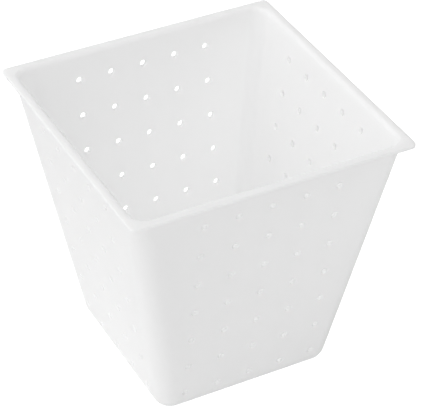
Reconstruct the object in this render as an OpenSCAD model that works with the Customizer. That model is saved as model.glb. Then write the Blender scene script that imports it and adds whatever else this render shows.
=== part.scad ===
// Square, tapered mould for a soft cheese: one thin moulding, open at the top, with a
// narrow rim around the mouth and drain holes through the four walls and the floor.
// Z is up and the origin is the centre of the underside.

/* [Body] */
// Height from the underside to the top of the rim
mould_h = 100; // [98:1:120]
// Outside width of the body at its mouth, without the rim
mouth_w = 100.6; // [90:0.2:103]
// Outside width at the underside, as if its edge were sharp
base_w = 66; // [64:1:88]
// Thickness of the walls and of the floor
wall_t = 1.8; // [1.2:0.1:2.4]
// Outside radius of the upright corners at the mouth
mouth_corner_r = 7; // [4:0.5:12]
// Outside radius of the edge of the underside, and of the upright corners there
base_r = 7; // [4:0.5:7]

/* [Rim] */
// Outside width over the rim
rim_w = 104; // [100.8:0.2:140]
// Thickness of the rim
rim_t = 1.6; // [1.2:0.1:3]
// Radius of the rim's four corners
rim_corner_r = 2; // [1:0.5:6]
// Radius that turns the top of the rim down into the inside of the walls
lip_r = 1.8; // [0.8:0.1:2.2]

/* [Drain holes] */
// Diameter of every drain hole
hole_d = 2.2; // [1:0.1:3]
// Columns of holes in each wall, and rows and columns in the floor
hole_columns = 5; // [1:1:5]
// Rows of holes in each wall
hole_rows = 7; // [1:1:7]
// Distance between neighbouring columns
column_pitch = 12.4; // [6:0.1:12.4]
// Height between neighbouring rows
row_pitch = 13.5; // [6:0.1:13.5]
// Depth of the top row below the top of the rim
top_row_depth = 10; // [8:0.5:10]

/* [Hidden] */

// Facets of a full turn on the rounded corners
corner_fn = 32;
// Facets of a full turn in the drain holes, as they are drawn on screen
hole_fn = 24;
// Straight steps that make up the rounded edge of the underside
edge_steps = 8;
// Straight steps that make up the rounded lip
lip_steps = 4;
// How far a cutter runs past the surface that it cuts
past = 1;
// How far the lip's cutter starts inside the cavity, so that the two cross
bite = 0.05;

// Lean of the walls from upright
draft = atan((mouth_w - base_w) / 2 / mould_h);
// Corners that a square plan repeats
quadrants = [[1, 1], [-1, 1], [-1, -1], [1, -1]];

// Outside half width of the walls at a height
function outer_half(z) = base_w / 2 + z * tan(draft);
// Half width at a height, of the walls moved inwards by a distance
function inset_half(z, inset) = outer_half(z) - inset / cos(draft);
// Distance from the axis to the centre of the ball that rounds the base corners
base_centre = inset_half(base_r, base_r);
// Points of the rounded edge from its lowest point out to where the wall starts
function edge_profile(r) = [
    for (i = [0:edge_steps])
        let (turn = i * (90 - draft) / edge_steps)
        [r * sin(turn), -r * cos(turn)]
];

// The body's solid form, or its cavity when it is moved inwards. It closes below in a
// rounded edge and runs straight up to a given height.
module tapered_form(inset, top_z) {
    top_r = mouth_corner_r - inset;
    top_centre = inset_half(top_z, inset) - top_r;
    hull()
        for (q = quadrants) {
            translate([q.x * base_centre, q.y * base_centre, base_r])
                rotate_extrude($fn = corner_fn)
                    polygon(concat(edge_profile(base_r - inset), [[0, 0]]));
            translate([q.x * top_centre, q.y * top_centre, top_z - bite])
                cylinder(h = bite, r = top_r, $fn = corner_fn);
        }
}

// The flat plate of the rim, before the cavity is cut through it
module rim_plate() {
    straight = rim_w - 2 * rim_corner_r;
    translate([0, 0, mould_h - rim_t])
        linear_extrude(rim_t)
            union() {
                square([rim_w, straight], center = true);
                square([straight, rim_w], center = true);
                for (q = quadrants)
                    translate(q * straight / 2)
                        circle(rim_corner_r, $fn = corner_fn);
            }
}

// What the rounded lip takes off the inside edge of the mouth
module lip_cutter() {
    lip_z = mould_h - lip_r;
    centre = inset_half(lip_z, wall_t) - (mouth_corner_r - wall_t);
    start_r = mouth_corner_r - wall_t - bite;
    for (i = [0:lip_steps - 1]) {
        from = i * 90 / lip_steps;
        to = (i + 1) * 90 / lip_steps;
        hull()
            for (q = quadrants)
                translate([q.x * centre, q.y * centre, lip_z + lip_r * sin(from)])
                    cylinder(
                        h = lip_r * (sin(to) - sin(from)),
                        r1 = start_r + lip_r * (1 - cos(from)),
                        r2 = start_r + lip_r * (1 - cos(to)),
                        $fn = corner_fn
                    );
    }
}

// The drain holes of the wall that faces +X, each square to the wall
module wall_holes() {
    for (row = [0:hole_rows - 1], column = [0:hole_columns - 1]) {
        z = mould_h - top_row_depth - row * row_pitch;
        y = (column - (hole_columns - 1) / 2) * column_pitch;
        translate([outer_half(z), y, z])
            rotate([0, 90 + draft, 0])
                cylinder(h = 2 * (wall_t + past), d = hole_d, center = true, $fn = hole_fn);
    }
}

// The drain holes of the floor
module floor_holes() {
    for (row = [0:hole_columns - 1], column = [0:hole_columns - 1])
        translate([
            (column - (hole_columns - 1) / 2) * column_pitch,
            (row - (hole_columns - 1) / 2) * column_pitch,
            -past
        ])
            cylinder(h = wall_t + 2 * past, d = hole_d, $fn = hole_fn);
}

// The whole moulding
module mould_shell() {
    color([0.95, 0.95, 0.94])
        difference() {
            union() {
                tapered_form(0, mould_h - rim_t / 2);
                rim_plate();
            }
            tapered_form(wall_t, mould_h + past);
            lip_cutter();
            for (side = [0:3])
                rotate([0, 0, side * 90])
                    wall_holes();
            floor_holes();
        }
}

mould_shell();
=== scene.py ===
"""Looks of a square, tapered soft-cheese mould: one thin moulding in translucent white
plastic, with a narrow rim around its mouth and drain holes through walls and floor.

Every stretch of the shell is an offset of one inner core, so the outer skin lies at depth 0
and the inner skin at depth WALL. One quarter is built around +X and turned four times.
"""

import math

import bmesh
import bpy
import numpy as np
from mathutils import Matrix, Vector


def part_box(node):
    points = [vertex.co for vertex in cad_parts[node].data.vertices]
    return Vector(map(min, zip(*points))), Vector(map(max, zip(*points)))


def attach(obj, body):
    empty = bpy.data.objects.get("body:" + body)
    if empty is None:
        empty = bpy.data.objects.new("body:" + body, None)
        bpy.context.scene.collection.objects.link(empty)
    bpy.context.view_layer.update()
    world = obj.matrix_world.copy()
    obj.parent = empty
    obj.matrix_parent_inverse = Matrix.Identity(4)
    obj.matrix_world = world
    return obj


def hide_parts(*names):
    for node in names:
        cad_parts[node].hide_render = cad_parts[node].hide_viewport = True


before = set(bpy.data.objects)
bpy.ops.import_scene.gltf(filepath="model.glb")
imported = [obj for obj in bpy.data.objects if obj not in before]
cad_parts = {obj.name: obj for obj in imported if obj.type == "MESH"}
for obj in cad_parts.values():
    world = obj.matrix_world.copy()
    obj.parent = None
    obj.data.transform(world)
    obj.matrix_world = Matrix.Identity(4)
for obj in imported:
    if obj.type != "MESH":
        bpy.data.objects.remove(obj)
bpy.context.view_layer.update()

# ------------------------------------------------------------------ sizes, in metres
MM = 0.001
shell_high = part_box("mould_shell")[1]
HEIGHT = shell_high.z
RIM_HALF = shell_high.x

MOUTH_HALF = 50.3 * MM
BASE_HALF = 33.0 * MM
WALL = 1.8 * MM
MOUTH_CORNER_R = 7.0 * MM
BASE_R = 7.0 * MM

RIM_T = 1.6 * MM
RIM_CORNER_R = 2.0 * MM
RIM_EDGE_R = 0.45 * MM
RIM_FILLET_R = 0.7 * MM
LIP_R = 1.8 * MM

HOLE_R = 1.1 * MM
HOLE_EDGE_R = 0.3 * MM
COLUMNS = 5
ROWS = 7
COLUMN_PITCH = 12.4 * MM
ROW_PITCH = 13.5 * MM
TOP_ROW_Z = HEIGHT - 10.0 * MM

# ------------------------------------------------------------------ mesh density
SIDE_STEPS = 6
CORNER_STEPS = 12
FILLET_STEPS = 8
LIP_STEPS = 8
SMALL_STEPS = 4
# How far across a cell, from its outline to its hole, the rings between them lie
CELL_SHARES = (0.45, 0.78, 0.94)
# Direction from a cell's hole to the corner that its outline starts at
FIRST_CORNER = math.radians(-135)
# Points closer together than this are joined into one
WELD = 1e-7

# ------------------------------------------------------------------ form of the shell
LEAN = math.atan((MOUTH_HALF - BASE_HALF) / HEIGHT)
SIN, COS, TAN = math.sin(LEAN), math.cos(LEAN), math.tan(LEAN)
CORE_BASE = BASE_HALF + BASE_R * TAN - BASE_R / COS
RADIUS_SLOPE = (MOUTH_CORNER_R - BASE_R) / (HEIGHT - BASE_R)
WALL_FOOT_Z = BASE_R * (1 - SIN)
CELL_TOP_Z = TOP_ROW_Z + ROW_PITCH / 2


def outer_half(z):
    """Half width of the outer skin's walls at a height."""
    return BASE_HALF + z * TAN


def edge_half(z):
    """Half width of a wall's flat panel, at the outer skin's height z."""
    core_z = (z + BASE_R * (1 - RADIUS_SLOPE) * SIN) / (1 - RADIUS_SLOPE * SIN)
    radius = BASE_R + (core_z - BASE_R) * RADIUS_SLOPE
    return outer_half(core_z) - radius / COS


def panel_point(y, z, depth):
    """Points of the wall that faces +X. z is a height on the outer skin."""
    y, z, depth = np.broadcast_arrays(y, z, depth)
    return np.stack([outer_half(z) - depth * COS, y, z + depth * SIN], axis=-1)


def corner_normal(turn):
    """Outward normal on the upright corner, as turn goes from 0 at the +X wall to 1."""
    span = math.acos(SIN * SIN)
    a, b = math.sin((1 - turn) * span), math.sin(turn * span)
    return np.array([a * COS, b * COS, -(a + b) * SIN]) / math.sin(span)


def corner_point(z, turn, depth):
    """Point of the upright corner at height z."""
    normal = corner_normal(turn)
    reach = BASE_R * (1 - RADIUS_SLOPE) - depth
    core_z = (z - reach * normal[2]) / (1 + RADIUS_SLOPE * normal[2])
    radius = BASE_R + (core_z - BASE_R) * RADIUS_SLOPE
    core = outer_half(core_z) - radius / COS
    return np.array([core, core, core_z]) + (radius - depth) * normal


def column_lines(z):
    """The lines that part a wall's columns of holes, from one edge of the panel to the other."""
    inner = (np.arange(1, COLUMNS) - COLUMNS / 2) * COLUMN_PITCH
    return np.concatenate([[-edge_half(z)], inner, [edge_half(z)]])


def row_points(z):
    """The mesh's points along y in a wall's row at height z."""
    lines = column_lines(z)
    share = np.arange(SIDE_STEPS) / SIDE_STEPS
    spans = [a + (b - a) * share for a, b in zip(lines, lines[1:])]
    return np.concatenate(spans + [[lines[-1]]])


def row_lines():
    """Heights that part the rows of holes, from the foot of the wall upwards."""
    between = TOP_ROW_Z - (np.arange(ROWS - 1)[::-1] + 0.5) * ROW_PITCH
    return np.concatenate([[WALL_FOOT_Z], between, [CELL_TOP_Z]])


# ------------------------------------------------------------------ patches of the mesh
def cell_rings(corners, centre, upright):
    """Closed rings of (u, v, depth): from a cell's outline on the outer skin, in through
    its drain hole, and out to the same outline on the inner skin."""
    share = (np.arange(SIDE_STEPS) / SIDE_STEPS)[:, None]
    corners = np.array(corners)
    outline = np.concatenate(
        [a + (b - a) * share for a, b in zip(corners, np.roll(corners, -1, axis=0))]
    )
    turn = FIRST_CORNER + np.arange(len(outline)) * 2 * math.pi / len(outline)
    direction = np.stack([np.cos(turn), upright * np.sin(turn)], axis=-1)

    def circle(radius):
        return np.array(centre) + radius * direction

    brim = circle(HOLE_R + HOLE_EDGE_R)
    flat = [outline] + [outline * (1 - s) + brim * s for s in CELL_SHARES]
    skin = [(ring, 0.0) for ring in flat]
    for step in range(SMALL_STEPS + 1):
        a = math.pi / 2 * step / SMALL_STEPS
        radius = HOLE_R + HOLE_EDGE_R * (1 - math.sin(a))
        skin.append((circle(radius), HOLE_EDGE_R * (1 - math.cos(a))))
    through = skin + [(ring, WALL - depth) for ring, depth in reversed(skin)]
    return [np.column_stack([ring, np.full(len(ring), depth)]) for ring, depth in through]


def wall_cells():
    """The cells of the wall that faces +X, each with its drain hole."""
    heights = row_lines()
    for low, high, row in zip(heights, heights[1:], range(ROWS - 1, -1, -1)):
        below, above = column_lines(low), column_lines(high)
        for i in range(COLUMNS):
            corners = [
                (below[i], low),
                (below[i + 1], low),
                (above[i + 1], high),
                (above[i], high),
            ]
            centre = ((i - (COLUMNS - 1) / 2) * COLUMN_PITCH, TOP_ROW_Z - row * ROW_PITCH)
            rings = cell_rings(corners, centre, COS)
            yield np.array([panel_point(r[:, 0], r[:, 1], r[:, 2]) for r in rings]), True


def floor_cells():
    """The cells of the floor, each with its drain hole."""
    lines = column_lines(WALL_FOOT_Z)
    for i in range(COLUMNS):
        for j in range(COLUMNS):
            corners = [
                (lines[i], lines[j]),
                (lines[i + 1], lines[j]),
                (lines[i + 1], lines[j + 1]),
                (lines[i], lines[j + 1]),
            ]
            centre = [(k - (COLUMNS - 1) / 2) * COLUMN_PITCH for k in (i, j)]
            yield np.array(cell_rings(corners, centre, 1.0)), True


def upright_corner(depth):
    """One skin of an upright corner, from the ball at its foot up to the last row of cells."""
    heights = row_lines()
    share = np.arange(SIDE_STEPS) / SIDE_STEPS
    stations = [low + (high - low) * s for low, high in zip(heights, heights[1:]) for s in share]
    turns = np.linspace(0, 1, CORNER_STEPS + 1)
    centre = np.array([CORE_BASE, CORE_BASE, BASE_R])
    rows = [[centre + (BASE_R - depth) * corner_normal(t) for t in turns]]
    for z in stations[1:] + [heights[-1]]:
        rows.append([corner_point(z + depth * SIN, t, depth) for t in turns])
    return np.array(rows), False


def base_round(depth):
    """One skin of the rounded edge of the underside: along a wall, then round its corner."""
    rows = []
    for step in range(FILLET_STEPS + 1):
        share = step / FILLET_STEPS
        row = []
        a = LEAN + (math.pi / 2 - LEAN) * share
        reach = BASE_R - depth
        for y in row_points(WALL_FOOT_Z):
            row.append([CORE_BASE + reach * math.cos(a), y, BASE_R - reach * math.sin(a)])
        for t in np.arange(1, CORNER_STEPS + 1) / CORNER_STEPS:
            normal = corner_normal(t)
            lean = math.asin(-normal[2])
            a = lean + (math.pi / 2 - lean) * share
            flat = normal[:2] / np.linalg.norm(normal[:2]) * reach * math.cos(a)
            row.append([CORE_BASE + flat[0], CORE_BASE + flat[1], BASE_R - reach * math.sin(a)])
        rows.append(row)
    return np.array(rows), False


def top_edge(plane_z, radius, depth):
    """Where a round of this radius, which ends level with plane_z, leaves one skin: its
    points along a quarter of the mouth, with the skin's outward normal at each."""
    z = plane_z - radius * (1 - SIN)
    outer_z = z - depth * SIN
    points = [panel_point(y, outer_z, depth) for y in row_points(outer_z)]
    normals = [corner_normal(0)] * len(points)
    for t in np.arange(1, CORNER_STEPS + 1) / CORNER_STEPS:
        normal = corner_normal(t)
        points.append(corner_point(plane_z - radius * (1 + normal[2]), t, depth))
        normals.append(normal)
    return np.array(points), np.array(normals)


def rounded_rows(points, normals, radius, steps):
    """Rows of a round that turns from a leaning skin into a level plane above it."""
    centre = points + radius * normals
    flat = normals * [1, 1, 0]
    flat /= np.linalg.norm(flat, axis=1)[:, None]
    lean = np.arcsin(-normals[:, 2])
    rows = []
    for step in range(steps + 1):
        a = (lean + (math.pi / 2 - lean) * step / steps)[:, None]
        rows.append(centre + radius * (np.sin(a) * [0, 0, 1] - np.cos(a) * flat))
    return rows


def rim_row(half, corner_r, z):
    """A quarter of a level rounded square, with as many points as top_edge gives."""
    lines = row_points(CELL_TOP_Z) / edge_half(CELL_TOP_Z) * (half - corner_r)
    points = [[half, y, z] for y in lines]
    for t in np.arange(1, CORNER_STEPS + 1) / CORNER_STEPS:
        a = t * math.pi / 2
        centre = half - corner_r
        points.append([centre + corner_r * math.cos(a), centre + corner_r * math.sin(a), z])
    return np.array(points)


def rim():
    """The rim, from the outer skin under it, round its edge, and over the lip to the inner skin."""
    under_z = HEIGHT - RIM_T
    rows = [cell_top_row(0.0)]
    rows += rounded_rows(*top_edge(under_z, RIM_FILLET_R, 0.0), RIM_FILLET_R, SMALL_STEPS)
    for turn_from, middle_z in ((-90, under_z + RIM_EDGE_R), (0, HEIGHT - RIM_EDGE_R)):
        for step in range(SMALL_STEPS + 1):
            a = math.radians(turn_from + 90 * step / SMALL_STEPS)
            inset = RIM_EDGE_R * (1 - math.cos(a))
            z = middle_z + RIM_EDGE_R * math.sin(a)
            rows.append(rim_row(RIM_HALF - inset, RIM_CORNER_R - inset, z))
    rows += rounded_rows(*top_edge(HEIGHT, LIP_R, WALL), LIP_R, LIP_STEPS)[::-1]
    rows.append(cell_top_row(WALL))
    return np.array(rows), False


def cell_top_row(depth):
    """The upper edge of the topmost cells and of the upright corner beside them."""
    points = [panel_point(y, CELL_TOP_Z, depth) for y in row_points(CELL_TOP_Z)]
    for t in np.arange(1, CORNER_STEPS + 1) / CORNER_STEPS:
        points.append(corner_point(CELL_TOP_Z + depth * SIN, t, depth))
    return np.array(points)


def quarter_turned(points, quarter):
    """The points turned about Z by a number of quarter turns."""
    matrix = np.array(Matrix.Rotation(quarter * math.pi / 2, 3, "Z"))
    return points @ matrix.T


def shell_mesh():
    """The whole moulding as one closed mesh."""
    patches = list(floor_cells())
    sector = list(wall_cells()) + [rim()]
    for depth in (0.0, WALL):
        sector += [upright_corner(depth), base_round(depth)]
    for quarter in range(4):
        patches += [(quarter_turned(points, quarter), closed) for points, closed in sector]
    points, faces, count = [], [], 0
    for grid, closed in patches:
        rows, columns = grid.shape[:2]
        numbers = count + np.arange(rows * columns).reshape(rows, columns)
        if closed:
            numbers = np.column_stack([numbers, numbers[:, 0]])
        quads = [numbers[:-1, :-1], numbers[:-1, 1:], numbers[1:, 1:], numbers[1:, :-1]]
        faces.append(np.stack([q.ravel() for q in quads], axis=-1))
        points.append(grid.reshape(-1, 3))
        count += rows * columns
    mesh = bpy.data.meshes.new("mould_shell_surface")
    mesh.from_pydata(np.concatenate(points).tolist(), [], np.concatenate(faces).tolist())
    welded = bmesh.new()
    welded.from_mesh(mesh)
    bmesh.ops.remove_doubles(welded, verts=welded.verts, dist=WELD)
    bmesh.ops.recalc_face_normals(welded, faces=welded.faces)
    open_edges = [edge for edge in welded.edges if len(edge.link_faces) != 2]
    if open_edges:
        place = open_edges[0].verts[0].co
        raise ValueError(f"the shell is open at {len(open_edges)} edges, the first at {place}")
    welded.to_mesh(mesh)
    welded.free()
    mesh.shade_smooth()
    return mesh


# ------------------------------------------------------------------ material
PLASTIC_COLOURS = ((0.993, 0.993, 0.993, 1), (0.98, 0.98, 0.98, 1))
PLASTIC_ROUGHNESS = (0.36, 0.5)
PLASTIC_IOR = 1.49
LIGHT_REACH = 7.0 * MM

CLOUD_SIZE = 16.0 * MM
STREAK_SIZE = 4.0 * MM
STREAK_STRETCH = 6.0
SINK_SIZE = 18.0 * MM
SINK_HEIGHT = 0.05 * MM
GRAIN_SIZE = 0.35 * MM
GRAIN_HEIGHT = 0.004 * MM
# Values of the noise at which a pattern reaches its two ends
PATTERN_SPREAD = (0.3, 0.7)


def noise(tree, coordinates, size, detail):
    """A cloudy 0 to 1 pattern, whose spots are about this size."""
    node = tree.nodes.new("ShaderNodeTexNoise")
    node.inputs["Scale"].default_value = 1 / size
    node.inputs["Detail"].default_value = detail
    tree.links.new(coordinates, node.inputs["Vector"])
    return node.outputs["Fac"]


def bump(tree, height, distance, below=None):
    """Small relief of this height, on top of the relief below it."""
    node = tree.nodes.new("ShaderNodeBump")
    node.inputs["Distance"].default_value = distance
    tree.links.new(height, node.inputs["Height"])
    if below:
        tree.links.new(below, node.inputs["Normal"])
    return node.outputs["Normal"]


def ranged(tree, value, low, high):
    """A cloudy pattern, spread from low to high."""
    node = tree.nodes.new("ShaderNodeMapRange")
    node.interpolation_type = "SMOOTHSTEP"
    node.inputs["From Min"].default_value = PATTERN_SPREAD[0]
    node.inputs["From Max"].default_value = PATTERN_SPREAD[1]
    node.inputs["To Min"].default_value = low
    node.inputs["To Max"].default_value = high
    tree.links.new(value, node.inputs["Value"])
    return node.outputs["Result"]


def plastic_material():
    """Natural white polypropylene: cloudy and translucent, satin as it left the tool, with
    flow streaks that run up the walls, a slow waviness and a fine grain."""
    material = bpy.data.materials.new("translucent_white_plastic")
    material.use_nodes = True
    tree = material.node_tree
    place = tree.nodes.new("ShaderNodeTexCoord").outputs["Object"]
    upright = tree.nodes.new("ShaderNodeMapping")
    upright.inputs["Scale"].default_value = (1, 1, 1 / STREAK_STRETCH)
    tree.links.new(place, upright.inputs["Vector"])
    streaks = noise(tree, upright.outputs["Vector"], STREAK_SIZE, detail=4)
    clouds = noise(tree, place, CLOUD_SIZE, detail=3)

    tint = tree.nodes.new("ShaderNodeValToRGB")
    for stop, position, colour in zip(tint.color_ramp.elements, PATTERN_SPREAD, PLASTIC_COLOURS):
        stop.position = position
        stop.color = colour
    tree.links.new(clouds, tint.inputs["Fac"])

    relief = bump(tree, noise(tree, place, SINK_SIZE, detail=1), SINK_HEIGHT)
    relief = bump(tree, noise(tree, place, GRAIN_SIZE, detail=2), GRAIN_HEIGHT, relief)

    shader = tree.nodes["Principled BSDF"]
    tree.links.new(tint.outputs["Color"], shader.inputs["Base Color"])
    tree.links.new(ranged(tree, streaks, *PLASTIC_ROUGHNESS), shader.inputs["Roughness"])
    tree.links.new(relief, shader.inputs["Normal"])
    shader.inputs["IOR"].default_value = PLASTIC_IOR
    shader.inputs["Subsurface Weight"].default_value = 1.0
    shader.inputs["Subsurface Radius"].default_value = (1, 1, 1)
    shader.inputs["Subsurface Scale"].default_value = LIGHT_REACH
    return material


# ------------------------------------------------------------------ camera, light, floor
CAMERA_TARGET = Vector((2.25, -1.18, 58.95)) * MM
CAMERA_DISTANCE = 707.2 * MM
CAMERA_AZIMUTH = -27.67
CAMERA_ELEVATION = 36.51
CAMERA_ROLL = 0.34
CAMERA_LENS = 173.56
CAMERA_SENSOR = 36.0
CAMERA_REACH = (0.05, 20.0)

# Azimuth and elevation of each soft light in degrees, and how much it adds at its middle
SOFT_LIGHTS = (
    (0, 90, 0.46),
    (-75, 35, 0.97),
    (-120, 30, 0.32),
    (-165, 15, 0.46),
    (-30, 30, 0.2),
    (60, 15, 0.14),
    (105, 15, 0.24),
)
LIGHT_FOCUS = 3.0
EVEN_GLOW = 0.24
WHITE_BOUNCES = 16

WHITE = (1, 1, 1, 1)
SQUARE = ((-1, -1), (1, -1), (1, 1), (-1, 1))
FLOOR_HALF = 4.0
FLOOR_GAP = 0.05 * MM
FLOOR_COLOUR = (0.8, 0.8, 0.8, 1)
FLOOR_ROUGHNESS = 0.9
FLOOR_GLOW = 0.07
FLOOR_SEEN = 0.9


def direction(azimuth, elevation):
    """Unit vector towards an azimuth, which is 0 at -Y and 90 at +X, and an elevation."""
    azimuth, elevation = math.radians(azimuth), math.radians(elevation)
    return Vector((
        math.sin(azimuth) * math.cos(elevation),
        -math.cos(azimuth) * math.cos(elevation),
        math.sin(elevation),
    ))


def maths(tree, operation, *values):
    """The output of a math node. Each value is a number or another node's output."""
    node = tree.nodes.new("ShaderNodeMath")
    node.operation = operation
    for socket, value in zip(node.inputs, values):
        if isinstance(value, bpy.types.NodeSocket):
            tree.links.new(value, socket)
        else:
            socket.default_value = value
    return node.outputs[0]


def make_camera():
    """The camera of the main view."""
    data = bpy.data.cameras.new("camera")
    data.lens = CAMERA_LENS
    data.sensor_width = CAMERA_SENSOR
    data.clip_start, data.clip_end = CAMERA_REACH
    camera = bpy.data.objects.new("camera", data)
    back = direction(CAMERA_AZIMUTH, CAMERA_ELEVATION)
    aim = (-back).to_track_quat("-Z", "Y").to_matrix().to_4x4()
    roll = Matrix.Rotation(math.radians(CAMERA_ROLL), 4, "Z")
    camera.matrix_world = Matrix.Translation(CAMERA_TARGET + back * CAMERA_DISTANCE) @ aim @ roll
    bpy.context.scene.collection.objects.link(camera)
    bpy.context.scene.camera = camera


def make_world():
    """A white studio: an even glow, and a wide soft light towards each of the SOFT_LIGHTS."""
    world = bpy.data.worlds.new("studio")
    world.use_nodes = True
    tree = world.node_tree
    towards = tree.nodes.new("ShaderNodeTexCoord").outputs["Generated"]
    total = tree.nodes.new("ShaderNodeValue").outputs[0]
    total.default_value = EVEN_GLOW
    for azimuth, elevation, strength in SOFT_LIGHTS:
        facing = tree.nodes.new("ShaderNodeVectorMath")
        facing.operation = "DOT_PRODUCT"
        facing.inputs[1].default_value = direction(azimuth, elevation)
        tree.links.new(towards, facing.inputs[0])
        lit = maths(tree, "MAXIMUM", facing.outputs["Value"], 0.0)
        soft = maths(tree, "POWER", lit, LIGHT_FOCUS)
        total = maths(tree, "MULTIPLY_ADD", soft, strength, total)
    background = tree.nodes["Background"]
    background.inputs["Color"].default_value = WHITE
    tree.links.new(total, background.inputs["Strength"])
    bpy.context.scene.world = world


def make_floor():
    """A pale table. It looks brighter than the light that it gives, so that it washes out to
    white, as the ground of a cut-out product picture does."""
    mesh = bpy.data.meshes.new("floor")
    corners = [(x * FLOOR_HALF, y * FLOOR_HALF, -FLOOR_GAP) for x, y in SQUARE]
    mesh.from_pydata(corners, [], [(0, 1, 2, 3)])
    floor = bpy.data.objects.new("floor", mesh)
    material = bpy.data.materials.new("pale_floor")
    material.use_nodes = True
    tree = material.node_tree
    shader = tree.nodes["Principled BSDF"]
    shader.inputs["Base Color"].default_value = FLOOR_COLOUR
    shader.inputs["Roughness"].default_value = FLOOR_ROUGHNESS
    shader.inputs["Emission Color"].default_value = WHITE
    seen = tree.nodes.new("ShaderNodeLightPath").outputs["Is Camera Ray"]
    glow = maths(tree, "MULTIPLY_ADD", seen, FLOOR_SEEN - FLOOR_GLOW, FLOOR_GLOW)
    tree.links.new(glow, shader.inputs["Emission Strength"])
    mesh.materials.append(material)
    bpy.context.scene.collection.objects.link(floor)


# ------------------------------------------------------------------ scene
make_camera()
shell = bpy.data.objects.new("mould_shell_moulding", shell_mesh())
bpy.context.scene.collection.objects.link(shell)
shell.data.materials.append(plastic_material())
even_shading = shell.modifiers.new("even_shading", "WEIGHTED_NORMAL")
even_shading.keep_sharp = False
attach(shell, "root")
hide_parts("mould_shell")

make_world()
make_floor()
bpy.context.scene.view_settings.view_transform = "Standard"
bpy.context.scene.cycles.diffuse_bounces = WHITE_BOUNCES
bpy.context.scene.cycles.max_bounces = WHITE_BOUNCES
